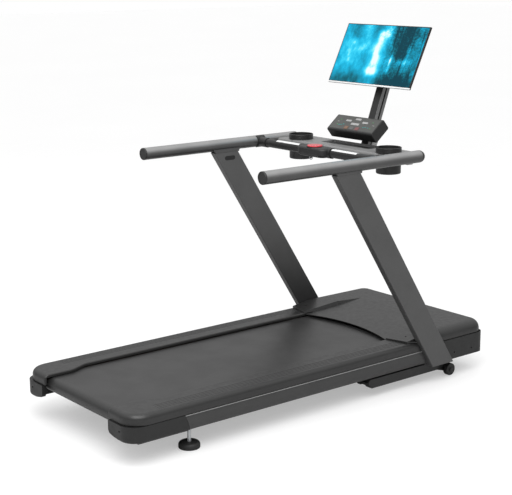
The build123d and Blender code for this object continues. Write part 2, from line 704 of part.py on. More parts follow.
def crossbar_collar():
    """Stub with a curved pad that sits against the inside of the handrail."""
    tee = bar_y(RAIL_X, BAR_Y - COLLAR_W / 2, BAR_Y + COLLAR_W / 2, HAND_Z, COLLAR_R)
    tee &= block(RAIL_X - COLLAR_R, RAIL_X - COLLAR_R / 3, BAR_Y - COLLAR_W, BAR_Y + COLLAR_W,
                 HAND_Z - COLLAR_R, HAND_Z + COLLAR_R)
    tee += bar_x(RAIL_X - 76, RAIL_X, BAR_Y, BAR_Z, COLLAR_STUB_R)
    tee -= bar_y(RAIL_X, BAR_Y - 60, BAR_Y + 60, HAND_Z, HAND_R)
    return tee - bar_x(0, BAR_HALF, BAR_Y, BAR_Z, BAR_R)


def pulse_plate():
    """Bright hand-pulse plate wrapped over the top of the bar."""
    sleeve = bar_x(PLATE_IN, PLATE_OUT, BAR_Y, BAR_Z, BAR_R + 1)
    sleeve -= bar_x(PLATE_IN - 1, PLATE_OUT + 1, BAR_Y, BAR_Z, BAR_R)
    reach = 2 * BAR_R
    wedge = [(BAR_Y, BAR_Z)]
    for angle in (48.0, 90.0, 140.0):
        wedge.append((BAR_Y - reach * cos(radians(angle)), BAR_Z + reach * sin(radians(angle))))
    return sleeve & side_prism(wedge, PLATE_IN - 2, PLATE_OUT + 2)


def stop_housing():
    """Housing clamped round the middle of the bar, under the stop button."""
    body = block(-STOP_HALF, STOP_HALF, STOP_Y - 42, STOP_Y + 44, STOP_BOTTOM, STOP_TOP)
    body = fillet(body.edges().filter_by(Axis.Z), 38)
    body = fillet(body.edges().filter_by(lambda e: e.center().Z > STOP_TOP - 0.1), 12)
    body = fillet(body.edges().filter_by(lambda e: e.center().Z < STOP_BOTTOM + 0.1), 18)
    sleeve = STOP_HALF + SLEEVE_OUT
    body += bar_x(-sleeve, sleeve, BAR_Y, BAR_Z, BAR_R + SLEEVE_T)
    body += bar_z(0, STOP_Y, STOP_TOP - 2, STOP_TOP + 1.5, STOP_R + 4)
    body -= bar_z(0, STOP_Y, STOP_TOP - 1.6, STOP_TOP + 5, STOP_R + 0.5)
    body -= bar_z(0, STOP_Y, STOP_TOP - 30, STOP_TOP + 5, STEM_R + BEARING_GAP)
    return body - bar_x(-sleeve - 3, sleeve + 3, BAR_Y, BAR_Z, BAR_R)


def stop_button():
    """Large round stop button on its stem."""
    head = bar_z(0, STOP_Y, STOP_TOP + 2, STOP_TOP + 7.5, STOP_R)
    head = fillet(head.edges().filter_by(lambda e: e.center().Z > STOP_TOP + 7), 2.5)
    return head + bar_z(0, STOP_Y, STOP_TOP - 12, STOP_TOP + 2, STEM_R)


def lanyard_hook():
    """Ring under the housing for a safety lanyard."""
    ring = Pos(HOOK_X, STOP_Y - 10, STOP_BOTTOM - 7) * Rot(0, 90, 0) * Torus(HOOK_R, 1.6)
    return ring - block(-STOP_HALF, 0, STOP_Y - 40, STOP_Y + 20, STOP_BOTTOM, STOP_TOP)


# ---- tray -----------------------------------------------------------------
def tray_block(inset):
    """Tray as a full block with rolled long edges."""
    body = block(-TRAY_HALF + inset, TRAY_HALF - inset, TRAY_REAR + inset,
                 TRAY_FRONT - inset, TRAY_BOTTOM - inset, TRAY_TOP - inset)
    long_edges = body.edges().filter_by(Axis.X)
    long_edges = long_edges.filter_by(lambda e: e.center().Z > TRAY_BOTTOM + 1)
    return fillet(long_edges, TRAY_EDGE_R - inset)


def pocket(grow, z0, z1):
    """Recess in the middle of the tray."""
    body = block(-POCKET_HALF - grow, POCKET_HALF + grow, POCKET_REAR - grow,
                 POCKET_FRONT + grow, z0, z1)
    return fillet(body.edges().filter_by(Axis.Z), 12)


def tray():
    """Moulded tray between the handrails, open underneath."""
    shell = tray_block(0) - tray_block(WALL)
    floor = TRAY_TOP - POCKET_DEPTH
    shell += pocket(2.5, floor - 2.5, TRAY_TOP - 1)
    shell -= pocket(0, floor, TRAY_TOP + 1)
    for x in (-CUP_X, CUP_X):
        shell += bar_z(x, CUP_Y, TRAY_BOTTOM, TRAY_TOP - 1, CUP_R + 4.5)
        shell -= bar_z(x, CUP_Y, TRAY_BOTTOM - 20, TRAY_TOP + 5, CUP_R + 0.2)
    return shell


def cup(x):
    """Cup holder with a broad rim that sits on the tray."""
    body = bar_z(x, CUP_Y, CUP_BOTTOM, CUP_TOP, CUP_R)
    rim = bar_z(x, CUP_Y, TRAY_TOP, CUP_TOP, CUP_RIM_R)
    rim = fillet(rim.edges(), 2)
    body = fillet(body.edges().filter_by(lambda e: e.center().Z < CUP_BOTTOM + 1), 5)
    return body + rim - bar_z(x, CUP_Y, CUP_BOTTOM + 3, CUP_TOP + 1, CUP_R - CUP_WALL)


def tray_mat():
    """Rubber mat in the tray's recess."""
    floor = TRAY_TOP - POCKET_DEPTH
    mat = pocket(-2, floor, floor + 2)
    for k in range(9):
        x = -POCKET_HALF + 25 + k * (2 * POCKET_HALF - 50) / 8
        mat += block(x - 2, x + 2, POCKET_REAR + 10, POCKET_FRONT - 10, floor + 1, floor + 3)
    return mat


def console_beam():
    """Tube under the tray that bends back to the two handrails."""
    side = [(404, 488), (374, 488), (318, BEAM_FRONT - 40)]
    front = [(330, BEAM_FRONT), (384, 520), (404, 520)]
    points = side + [(-x, y) for x, y in reversed(side)]
    points += [(-x, y) for x, y in reversed(front)] + front
    plan = make_face(Polyline(*points, close=True))
    beam = plan_prism(plan, BEAM_BOTTOM, TRAY_BOTTOM)
    inner = offset(plan, -STEEL_WALL, kind=Kind.INTERSECTION)
    beam -= plan_prism(inner, BEAM_BOTTOM + STEEL_WALL, TRAY_BOTTOM - STEEL_WALL)
    for x in (-RAIL_X, RAIL_X):
        beam -= bar_y(x, HAND_REAR, HAND_FRONT + HAND_R, HAND_Z, HAND_R)
    return beam


# ---- console --------------------------------------------------------------
def console_place(u, v, w):
    """Location on the console's face: u along X, v up the face, w out of it."""
    tilt = radians(CONSOLE_TILT)
    y = CONSOLE_LOW[0] + v * sin(tilt) - w * cos(tilt)
    z = CONSOLE_LOW[1] + v * cos(tilt) + w * sin(tilt)
    return Pos(u, y, z) * Rot(90 - CONSOLE_TILT, 0, 0)


def console_box(u0, u1, v0, v1, w0, w1):
    """Block in the console face's own directions."""
    place = console_place((u0 + u1) / 2, (v0 + v1) / 2, (w0 + w1) / 2)
    return place * Box(u1 - u0, v1 - v0, w1 - w0)


def console_shell():
    """Console housing, open for its key panel."""
    outer = console_box(-CONSOLE_HALF, CONSOLE_HALF, -CONSOLE_CHIN, CONSOLE_H, -CONSOLE_T, 0)
    outer = fillet(outer.edges().filter_by(Axis.X), 8)
    outer = fillet(outer.edges().filter_by(lambda e: abs(e.center().X) > CONSOLE_HALF - 0.1), 2.5)
    inner = console_box(-CONSOLE_HALF + WALL, CONSOLE_HALF - WALL, WALL - CONSOLE_CHIN,
                        CONSOLE_H - WALL, -CONSOLE_T + WALL, -PANEL_T)
    window = console_box(-CONSOLE_HALF + PANEL_RIM, CONSOLE_HALF - PANEL_RIM, PANEL_RIM,
                         CONSOLE_H - PANEL_RIM, -PANEL_T - 1, 5)
    return outer - inner - window


def console_panel():
    """Key panel that fills the housing's opening."""
    panel = console_box(-CONSOLE_HALF + PANEL_RIM + 0.2, CONSOLE_HALF - PANEL_RIM - 0.2,
                        PANEL_RIM + 0.2, CONSOLE_H - PANEL_RIM - 0.2, -PANEL_T, -0.4)
    for x in KEY_X:
        panel -= key_block(x, BEARING_GAP, -PANEL_T - 1, 5)
    return panel


def key_block(x, grow, w0, w1):
    """Block on the outline of one key."""
    half_w = KEY_W / 2 + grow
    half_h = KEY_H / 2 + grow
    return console_box(x - half_w, x + half_w, KEY_V - half_h, KEY_V + half_h, w0, w1)


def key(x):
    """Push key with a flange behind the panel."""
    cap = key_block(x, 0, -PANEL_T, 0.8)
    above = console_place(x, KEY_V, 10).position
    cap = fillet(cap.faces().sort_by_distance(above)[0].edges(), 0.5)
    stem = key_block(x, 0, -PANEL_T - 1.3, -PANEL_T + 0.1)
    flange = key_block(x, 1.5, -PANEL_T - 2.4, -PANEL_T - 1.2)
    return cap + stem + flange


# ---- pillar and television ------------------------------------------------
def pillar_frame(w, s):
    """Location on the pillar: w behind its front face, s up its length."""
    lean = radians(PILLAR_LEAN)
    y = PILLAR_FOOT[0] + s * sin(lean) + w * cos(lean)
    z = PILLAR_FOOT[1] + s * cos(lean) - w * sin(lean)
    return Pos(0, y, z) * Rot(-PILLAR_LEAN, 0, 0)


def pillar_face(z):
    """Y of the pillar's front face at height z."""
    return PILLAR_FOOT[0] + (z - PILLAR_FOOT[1]) * tan(radians(PILLAR_LEAN))


def pillar():
    """Slotted aluminium extrusion that leans forwards."""
    section = Rectangle(PILLAR_W, PILLAR_D)
    section = fillet(section.vertices(), 2)
    section -= Rectangle(PILLAR_W - 22, PILLAR_D - 22)
    for side in (-1, 1):
        section -= Pos(side * PILLAR_W / 2, 0) * Rectangle(9, 9)
        section -= Pos(side * (PILLAR_W / 2 - 6), 0) * Rectangle(4, 18)
    body = extrude(section, PILLAR_LEN)
    return pillar_frame(PILLAR_D / 2, 0) * body


def pillar_base():
    """Bracket that bolts the pillar and the console to the beam."""
    rear = BEAM_FRONT - 1
    foot = block(-FOOT_HALF, FOOT_HALF, rear, 668, TRAY_BOTTOM - 6, TRAY_BOTTOM)
    cheek = side_prism([(604, TRAY_BOTTOM - 42), (640, TRAY_BOTTOM - 42), (700, 1165),
                        (664, 1165)], PILLAR_W / 2, PILLAR_W / 2 + 5)
    back = block(-FOOT_HALF, FOOT_HALF, rear, rear + 5, BEAM_BOTTOM, TRAY_BOTTOM)
    return cheek + other_side(cheek) + foot + back


def console_bracket():
    """Plate from the pillar's foot to the back of the console."""
    low = console_place(0, 15, -CONSOLE_T).position
    high = console_place(0, 80, -CONSOLE_T).position
    points = [(low.Y, low.Z), (high.Y, high.Z), (pillar_face(high.Z) - 0.3, high.Z),
              (pillar_face(low.Z) - 0.3, low.Z)]
    return side_prism(points, -PILLAR_W / 2, PILLAR_W / 2)


def tv_place(u, v, w):
    """Location on the screen: u along X, v up the screen, w out of it."""
    tilt = radians(TV_TILT)
    y = TV_Y + v * sin(tilt) - w * cos(tilt)
    z = TV_Z + v * cos(tilt) + w * sin(tilt)
    return Pos(u, y, z) * Rot(90 - TV_TILT, 0, 0)


def tv_box(u0, u1, v0, v1, w0, w1):
    """Block in the screen's own directions."""
    place = tv_place((u0 + u1) / 2, (v0 + v1) / 2, (w0 + w1) / 2)
    return place * Box(u1 - u0, v1 - v0, w1 - w0)


def tilt_pin(x0, x1, r):
    """Round bar on the television's tilt axis."""
    centre = tv_place(0, 0, -TILT_PIN_BACK).position
    return bar_x(x0, x1, centre.Y, centre.Z, r)


def tv_shell():
    """Television housing with its tilt tongue."""
    half_w = TV_W / 2
    half_h = TV_H / 2
    body = tv_box(-half_w, half_w, -half_h, half_h, -TV_T, 0)
    body = fillet(body.edges().filter_by(Axis.X), 2)
    bulge = tv_box(-190, 190, -half_h + 14, 70, -TV_T - 16, -TV_T + 1)
    bulge = fillet(bulge.edges().filter_by(
        lambda e: abs(e.center().X) > 189 and e.length > 100), 7)
    body += bulge
    body -= tv_box(-half_w + 4, half_w - 4, -half_h + TV_CHIN, half_h - 4, -2.5, 5)
    tongue = tv_box(-14, 14, -22, 22, -TILT_PIN_BACK + 8, -TV_T) + tilt_pin(-14, 14, 11)
    tongue -= tilt_pin(-20, 20, TILT_PIN_R + BEARING_GAP)
    return body + tongue


def tv_screen():
    """Glass panel of the television."""
    half_w = TV_W / 2
    half_h = TV_H / 2
    return tv_box(-half_w + 4.2, half_w - 4.2, -half_h + TV_CHIN + 0.2, half_h - 4.2, -2.5, -0.2)


def tv_bracket():
    """Clevis on the pillar's top that holds the tilt pin."""
    pin = tv_place(0, 0, -TILT_PIN_BACK).position
    start = pillar_frame(0, PILLAR_LEN - 34).position
    end = pillar_frame(0, PILLAR_LEN - 4).position
    ears = []
    for side in (-1, 1):
        x0 = side * 18.5 - 3.5
        ear = bar_x(x0, x0 + 7, pin.Y, pin.Z, 14)
        ear += side_prism([(pin.Y - 2, pin.Z - 14), (pin.Y - 4, pin.Z + 13), (end.Y, end.Z),
                           (start.Y, start.Z)], x0, x0 + 7)
        ears.append(ear)
    bracket = ears[0] + ears[1] + tilt_pin(-20, 20, TILT_PIN_R)
    plate = pillar_frame(-2.5, PILLAR_LEN - 19) * Box(44, 5, 30)
    return bracket + plate


# ---- motor hood and skirt -------------------------------------------------
def nose_plan(inset, half, y_rear, y_front, r):
    """Plan with two rounded front corners."""
    wide = half - inset
    nose = y_front - inset
    points = [(-wide, y_rear), (wide, y_rear), (wide, nose), (-wide, nose)]
    plan = make_face(Polyline(*points, close=True))
    return rounded(plan, points[2:], r - inset)


def hood_block(inset):
    """Hood as a full block with its broad rounded flanks."""
    rear, nose = HOOD_REAR + inset, HOOD_NOSE_Y - inset
    low, high = HOOD_BOTTOM - inset, HOOD_TOP - inset
    plan = nose_plan(inset, HOOD_HALF, rear, HOOD_NOSE_Y, HOOD_CORNER_R)
    below = low - HOOD_EDGE_R
    side = [(rear - 1, below), (rear - 1, high), (nose + 1, high - NOSE_FALL), (nose + 1, below)]
    solid = plan_prism(plan, below, high + 1) & side_prism(side, -UPRIGHT_OUT, UPRIGHT_OUT)
    edges = solid.edges().filter_by(lambda e: e.center().Z > high - NOSE_FALL - 1)
    edges = edges.filter_by(lambda e: e.center().Y > rear + 1)
    solid = fillet(edges, HOOD_EDGE_R - inset)
    return solid - block(-UPRIGHT_OUT, UPRIGHT_OUT, rear - 1, nose + 1, below - 1, low)


def belt_arc(z0, z1):
    """Disc that trims the hood's rear edge to an arc."""
    rise = ARC_MID_Y - ARC_END_Y
    radius = (ARC_HALF ** 2 + rise ** 2) / (2 * rise)
    return bar_z(0, ARC_MID_Y - radius, z0, z1, radius)


def scoop():
    """Wedge that lowers the middle of the hood towards the belt."""
    rise = HOOD_TOP - SCOOP_REAR_Z
    y0 = ARC_END_Y - 40
    slope = rise / (SCOOP_FRONT_Y - ARC_END_Y)
    low = SCOOP_REAR_Z - slope * 40
    wedge = side_prism([(y0, low), (SCOOP_FRONT_Y, HOOD_TOP), (SCOOP_FRONT_Y, HOOD_TOP + 40),
                        (y0, HOOD_TOP + 40)], -500, 500)
    plan = make_face(Polyline((-SCOOP_HALF_REAR, y0), (SCOOP_HALF_REAR, y0),
                              (SCOOP_HALF_FRONT, SCOOP_FRONT_Y),
                              (-SCOOP_HALF_FRONT, SCOOP_FRONT_Y), close=True))
    walls = extrude(Pos(0, 0, low - 10) * plan, HOOD_TOP - low + 20, taper=-SCOOP_DRAFT)
    return wedge & walls


def wing_top(y):
    """Height of the wing's upper face at y."""
    (_, rear), (_, front) = WING_SEAM
    return WING_REAR_Z + (WING_FRONT_Z - WING_REAR_Z) * (y - rear) / (front - rear)


def hood_side_zone():
    """Plan area cut from the hood on the right, for the wing."""
    (x_rear, y_rear), (x_front, y_front) = WING_SEAM
    slope = (x_rear - x_front) / (y_front - y_rear)
    points = [(x_rear + slope * (y_rear - HOOD_REAR + 20) - 1, HOOD_REAR - 20),
              (UPRIGHT_OUT, HOOD_REAR - 20), (UPRIGHT_OUT, y_front + 1), (x_front - 1, y_front + 1)]
    return plan_prism(make_face(Polyline(*points, close=True)), HOOD_BOTTOM - 40, HOOD_TOP + 50)


def motor_hood():
    """Moulded hood over the motor bay."""
    inner = hood_block(WALL) - Pos(0, 0, -WALL) * scoop()
    shell = hood_block(0) - scoop() - inner
    shell -= belt_arc(HOOD_BOTTOM - 50, HOOD_TOP + 50)
    shell -= block(-UPRIGHT_OUT, UPRIGHT_OUT, 0, SKIRT_REAR, 100, BELT_CLEAR_Z)
    for cut in both(hood_side_zone()) + both(upright_room()):
        shell -= cut
    return shell


def hood_wing():
    """Right wing of the hood, screwed down on the foot rail."""
    z0 = COVER_TOP + 0.5
    zone = make_face(Polyline(WING_SEAM[0], WING_CORNER, (WING_SIDE, WING_CORNER[1] + 1),
                              (WING_SIDE, WING_SEAM[1][1]), WING_SEAM[1], close=True))
    body = hood_block(0) & plan_prism(zone, z0, HOOD_TOP + 10)
    rear, front = HOOD_REAR - 5, WING_SEAM[1][1] + 5
    body -= side_prism([(rear, wing_top(rear)), (front, wing_top(front)), (front, HOOD_TOP + 40),
                        (rear, HOOD_TOP + 40)], 0, UPRIGHT_OUT)
    tip = make_face(Polyline((WING_SIDE - 50, WING_CORNER[1] - 7), WING_CORNER, *WING_TIP,
                             (WING_SIDE - 50, WING_TIP[1][1]), close=True))
    body += plan_prism(tip, z0, z0 + 4)
    body -= bar_z(WING_SCREW_X, WING_SCREW_Y, z0 - 5, HOOD_TOP, SCREW_R)
    return body - scoop() - upright_room()


def front_skirt():
    """Skirt round the motor bay, below the hood."""
    outer = nose_plan(0, DECK_HALF, SKIRT_REAR, FRONT_Y, SKIRT_CORNER_R)
    inner = nose_plan(WALL, DECK_HALF, SKIRT_REAR, FRONT_Y, SKIRT_CORNER_R)
    skirt = plan_prism(outer - inner, SKIRT_BOTTOM, SKIRT_TOP)
    room = upright_room()
    skirt = skirt - room - other_side(room)
    for y in SKIRT_SCREW_Y:
        hole = bar_x(DECK_HALF - 10, DECK_HALF + 5, y, SKIRT_SCREW_Z, SCREW_R)
        skirt = skirt - hole - other_side(hole)
    for x, half in ((INLET_X, INLET_HALF), (SWITCH_X, SWITCH_HALF)):
        skirt -= socket_block(x, half, FRONT_Y - 20, FRONT_Y + 5)
    return skirt


def socket_block(x, half, y0, y1):
    """Block on the outline of the inlet's flange or of the switch's bezel."""
    return block(x - half, x + half, y0, y1, INLET_Z - INLET_TALL, INLET_Z + INLET_TALL)


def power_inlet():
    """Mains inlet socket with its flange, three flat pins inside."""
    x0, x1 = INLET_X - 14, INLET_X + 14
    z0, z1 = INLET_Z - 11, INLET_Z + 11
    flange = socket_block(INLET_X, INLET_HALF, FRONT_Y - 3, FRONT_Y - 0.5)
    body = block(x0 - 3, x1 + 3, FRONT_Y - 25, FRONT_Y - 3, z0 - 3, z1 + 3)
    inlet = flange + body - block(x0, x1, FRONT_Y - 21, FRONT_Y, z0, z1)
    for x, z in ((INLET_X, INLET_Z + 4), (INLET_X - 7, INLET_Z - 3), (INLET_X + 7, INLET_Z - 3)):
        inlet += block(x - 1, x + 1, FRONT_Y - 22, FRONT_Y - 6, z - 2.5, z + 2.5)
    return inlet


def switch_frame():
    """Bezel round the rocker, with its hinge pin."""
    frame = socket_block(SWITCH_X, SWITCH_HALF, FRONT_Y - 16, FRONT_Y - 0.5)
    frame -= block(SWITCH_X - 9, SWITCH_X + 9, FRONT_Y - 14, FRONT_Y, INLET_Z - 14, INLET_Z + 14)
    return frame + bar_x(SWITCH_X - 10, SWITCH_X + 10, SWITCH_PIN_Y, INLET_Z, 1.5)


def power_switch():
    """Rocker of the power switch."""
    y = SWITCH_PIN_Y
    points = [(y - 2, INLET_Z - 11.5), (y + 7, INLET_Z - 12), (y + 4.5, INLET_Z),
              (y + 7, INLET_Z + 12), (y - 2, INLET_Z + 11.5), (y - 4, INLET_Z)]
    rocker = side_prism(points, SWITCH_X - 8.4, SWITCH_X + 8.4)
    return rocker - bar_x(SWITCH_X - 12, SWITCH_X + 12, y, INLET_Z, 1.5 + BEARING_GAP)


# ---- motor ----------------------------------------------------------------
def motor():
    """Drive motor with its two feet on the bed."""
    body = bar_x(MOTOR_X0, MOTOR_X1, MOTOR_Y, MOTOR_Z, MOTOR_R)
    body = fillet(body.edges(), 6)
    for x in (MOTOR_X0 + 30, MOTOR_X1 - 60):
        body += block(x, x + 30, MOTOR_Y - 60, MOTOR_Y + 60, CROSS_TOP, CROSS_TOP + 6)
        body += block(x, x + 30, MOTOR_Y - 35, MOTOR_Y + 35, CROSS_TOP + 5, MOTOR_Z - 35)
    return body - bar_x(MOTOR_X0 - 1, MOTOR_X0 + 30, MOTOR_Y, MOTOR_Z, SHAFT_R + BEARING_GAP)


def motor_pulley():
    """Flanged pulley on the motor's shaft."""
    wheel = grooved_pulley(PULLEY_X - PULLEY_W / 2, PULLEY_X + PULLEY_W / 2,
                           MOTOR_Y, MOTOR_Z, MOTOR_PULLEY_R, SHAFT_R)
    return wheel + bar_x(PULLEY_X - PULLEY_W / 2 - 3, MOTOR_X0 + 28, MOTOR_Y, MOTOR_Z, SHAFT_R)


def drive_belt():
    """Belt from the motor's pulley to the front roller's."""
    half = PULLEY_W / 2 - 4
    return belt_loop((FRONT_ROLLER_Y, FRONT_ROLLER_Z), ROLLER_PULLEY_R + 0.3, (MOTOR_Y, MOTOR_Z),
                     MOTOR_PULLEY_R + 0.3, DRIVE_BELT_T, PULLEY_X - half, PULLEY_X + half)


def motor_controller():
    """Finned control unit in the front of the motor bay."""
    x0, x1 = -320.0, 60.0
    y0, y1 = 852.0, 936.0
    unit = block(x0, x1, y0, y1, CROSS_TOP + 6, CROSS_TOP + 46)
    legs = block(x0 + 20, x0 + 50, y0, 980, CROSS_TOP, CROSS_TOP + 6)
    legs += block(x1 - 50, x1 - 20, y0, 980, CROSS_TOP, CROSS_TOP + 6)
    for k in range(12):
        x = x0 + 10 + k * (x1 - x0 - 20) / 11
        unit += block(x - 2, x + 2, y0, y1, CROSS_TOP + 45, CROSS_TOP + 70)
    return unit + legs


# ---- lift -----------------------------------------------------------------
def arm_outline(inset):
    """Side outline of a lift arm."""
    i = inset
    return [(LIFT_Y - 18 + i, LIFT_Z + 4), (LIFT_Y - 6 + i, ARM_TOP - i), (745 - 2 * i, ARM_TOP - i),
            (712 - i, ARM_BOTTOM + i), (LIFT_Y + 5 + i, ARM_BOTTOM + i)]


def lift_arm():
    """Right arm with the wheel's plate and axle."""
    arm = side_prism(arm_outline(0), ARM_IN, ARM_OUT)
    arm -= side_prism(arm_outline(STEEL_WALL), ARM_IN + 8, ARM_OUT - STEEL_WALL)
    plate = side_prism([(700, ARM_BOTTOM), (700, ARM_TOP), (745, ARM_TOP), (WHEEL_Y + 16, 52),
                        (WHEEL_Y + 16, WHEEL_Z - 10), (WHEEL_Y - 16, WHEEL_Z - 10)],
                       ARM_IN, ARM_IN + 8)
    axle = bar_x(ARM_IN, WHEEL_X + WHEEL_W / 2 + 4, WHEEL_Y, WHEEL_Z, WHEEL_AXLE_R)
    axle += bar_x(WHEEL_X + WHEEL_W / 2 + 1, WHEEL_X + WHEEL_W / 2 + 5, WHEEL_Y, WHEEL_Z, 10)
    return arm + plate + axle


def lift_frame():
    """Both arms, the pivot tube, the cross tube and the actuator's lugs."""
    frame = lift_arm()
    frame += other_side(lift_arm())
    pivot = bar_x(-ARM_IN, ARM_IN, LIFT_Y, LIFT_Z, LIFT_PIN_R)
    pivot -= bar_x(-ARM_IN, ARM_IN, LIFT_Y, LIFT_Z, LIFT_PIN_R - STEEL_WALL)
    tube = bar_x(-ARM_IN, ARM_IN, TIE_Y, TIE_Z, TIE_R)
    tube -= bar_x(-ARM_IN, ARM_IN, TIE_Y, TIE_Z, TIE_R - STEEL_WALL)
    frame = frame + pivot + tube
    for side in (-1, 1):
        x = LIFT_X + side * 20
        lug = side_prism([(LUG_Y - 12, LUG_Z - 8), (LUG_Y - 12, LUG_Z + 8), (LUG_Y + 12, LUG_Z + 14),
                          (TIE_Y + 6, TIE_Z + TIE_R - 2), (TIE_Y, TIE_Z - TIE_R + 2)], x - 3, x + 3)
        lug -= bar_x(-ARM_IN, ARM_IN, TIE_Y, TIE_Z, TIE_R - 1)
        frame += lug
    return frame + bar_x(LIFT_X - 23, LIFT_X + 23, LUG_Y, LUG_Z, WHEEL_AXLE_R)


def wheel():
    """Right wheel."""
    tyre = bar_x(WHEEL_X - WHEEL_W / 2, WHEEL_X + WHEEL_W / 2, WHEEL_Y, WHEEL_Z, WHEEL_R)
    tyre = fillet(tyre.edges(), 4)
    return tyre - bar_x(WHEEL_X - 20, WHEEL_X + 20, WHEEL_Y, WHEEL_Z, WHEEL_AXLE_R + BEARING_GAP)


def lift_line(x, d):
    """Location at distance d from the trunnion towards the lug."""
    dy = LUG_Y - TRUNNION_Y
    dz = LUG_Z - TRUNNION_Z
    length = hypot(dy, dz)
    place = Pos(x, TRUNNION_Y + d * dy / length, TRUNNION_Z + d * dz / length)
    return place * Rot(90 + degrees(atan2(-dz, -dy)), 0, 0)


def lift_bar(x, d0, d1, r):
    """Round bar along the lift actuator."""
    return lift_line(x, (d0 + d1) / 2) * Cylinder(r, d1 - d0)


def lift_motor():
    """Lift actuator's housing with its small motor alongside."""
    body = lift_bar(LIFT_X, ACT_START, ACT_END, ACT_R)
    body += lift_line(LIFT_X, ACT_START / 2 + 5) * Box(38, 26, ACT_START)
    body += bar_x(LIFT_X - 19, LIFT_X + 19, TRUNNION_Y, TRUNNION_Z, 16)
    body += lift_line(LIFT_X + 36, ACT_START + 12) * Box(72, 40, 24)
    body += lift_bar(LIFT_X + 66, ACT_START + 1, ACT_START + 130, 30)
    body -= lift_bar(LIFT_X, ACT_START + 12, ACT_END + 10, ROD_R + BEARING_GAP)
    return body - bar_x(LIFT_X - 30, LIFT_X + 30, TRUNNION_Y, TRUNNION_Z, 8 + BEARING_GAP)


def lift_rod():
    """Actuator's rod, ending in a loose eye."""
    reach = hypot(LUG_Y - TRUNNION_Y, LUG_Z - TRUNNION_Z)
    rod = lift_bar(LIFT_X, ACT_START + 16, reach - EYE_R - 2, ROD_R)
    rod += bar_x(LIFT_X - 10, LIFT_X + 10, LUG_Y, LUG_Z, EYE_R + 7)
    return rod - bar_x(LIFT_X - 20, LIFT_X + 20, LUG_Y, LUG_Z, EYE_R)


# ---- levelling feet -------------------------------------------------------
def foot_pad():
    """Right levelling foot's thick rubber pad."""
    pad = bar_z(FOOT_X, FOOT_Y, 0, PAD_H, FOOT_R)
    pad = fillet(pad.edges().filter_by(lambda e: e.center().Z > PAD_H - 1), PAD_H / 2)
    pad = fillet(pad.edges().filter_by(lambda e: e.center().Z < 1), 4)
    return pad - bar_z(FOOT_X, FOOT_Y, PAD_H / 2, PAD_H + 5, STUD_R)


def foot_stud():
    """Right levelling foot's threaded stud with its lock nut."""
    stud = bar_z(FOOT_X, FOOT_Y, PAD_H / 2, STUD_TOP, STUD_R)
    return stud + Pos(FOOT_X, FOOT_Y, NUT_Z) * extrude(RegularPolygon(13, 6), 9)


os.makedirs("parts", exist_ok=True)

save("side_rail_right", side_rail())
save("side_rail_left", other_side(side_rail()))
save("cross_members", *cross_members())
save("deck_board", deck_board())
save("deck_cushions", *deck_cushions())
save("front_roller", front_roller())
save("rear_roller", roller(REAR_ROLLER_Y, REAR_ROLLER_Z, REAR_ROLLER_R))
save("roller_axles", *roller_axles())
save("running_belt", running_belt())
save("belt_adjusting_bolts", *both(adjusting_bolt(0)))
save("foot_rail_right", foot_rail())
save("foot_rail_left", other_side(foot_rail()))
save("rear_cap_right", rear_cap())
save("rear_cap_left", other_side(rear_cap()))
save("cover_screws", *cover_screws())

save("upright_right", upright())
save("upright_left", other_side(upright()))
save("upright_plugs", *both(upright_plug()))
save("upright_bolts", *[b for bolt in foot_bolts(0) for b in both(bolt)])
save("handrail_saddles", *both(handrail_saddle()))
save("handrail_right", handrail())
save("handrail_left", other_side(handrail()))
save("handrail_end_caps", *handrail_caps())
save("crossbar", crossbar())
save("crossbar_collars", *both(crossbar_collar()))
save("pulse_plates", *both(pulse_plate()))
save("stop_housing", stop_housing())
save("stop_button", stop_button())
save("lanyard_hook", lanyard_hook())

save("tray", tray())
save("tray_mat", tray_mat())
save("cup_holders", cup(-CUP_X), cup(CUP_X))
save("console_shell", console_shell())
save("console_panel", console_panel())
for node, x in zip(("start_key", "mode_key", "stop_key"), KEY_X):
    save(node, key(x))
save("pillar", pillar())
save("pillar_base", pillar_base() + console_beam(), console_bracket())
save("tv_bracket", tv_bracket())
save("tv_shell", tv_shell())
save("tv_screen", tv_screen())

save("motor_hood", motor_hood())
save("hood_wings", *both(hood_wing()))
save("front_skirt", front_skirt())
save("power_inlet", power_inlet(), switch_frame())
save("power_switch", power_switch())
save("motor", motor())
save("motor_pulley", motor_pulley())
save("drive_belt", drive_belt())
save("motor_controller", motor_controller())

save("lift_frame", lift_frame())
save("wheel_right", wheel())
save("wheel_left", other_side(wheel()))
save("lift_motor", lift_motor())
save("lift_rod", lift_rod())
save("foot_pad_right", foot_pad())
save("foot_pad_left", other_side(foot_pad()))
save("foot_stud_right", foot_stud())
save("foot_stud_left", other_side(foot_stud()))
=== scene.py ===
from math import cos, radians, sin

import bmesh
import bpy
from mathutils import Matrix, Vector


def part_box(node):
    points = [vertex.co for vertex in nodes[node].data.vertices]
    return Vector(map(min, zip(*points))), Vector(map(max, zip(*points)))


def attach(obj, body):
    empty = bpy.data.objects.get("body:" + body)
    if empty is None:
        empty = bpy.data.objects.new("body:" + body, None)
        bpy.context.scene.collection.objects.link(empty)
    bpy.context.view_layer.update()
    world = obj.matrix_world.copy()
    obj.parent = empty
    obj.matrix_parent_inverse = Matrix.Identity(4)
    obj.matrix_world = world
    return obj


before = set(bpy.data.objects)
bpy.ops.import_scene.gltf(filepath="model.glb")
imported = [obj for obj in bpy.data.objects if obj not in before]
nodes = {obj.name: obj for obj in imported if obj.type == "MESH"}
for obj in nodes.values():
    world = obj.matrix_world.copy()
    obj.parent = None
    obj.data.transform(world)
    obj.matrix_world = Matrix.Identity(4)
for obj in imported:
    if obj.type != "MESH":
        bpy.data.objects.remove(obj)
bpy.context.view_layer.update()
scene = bpy.context.scene


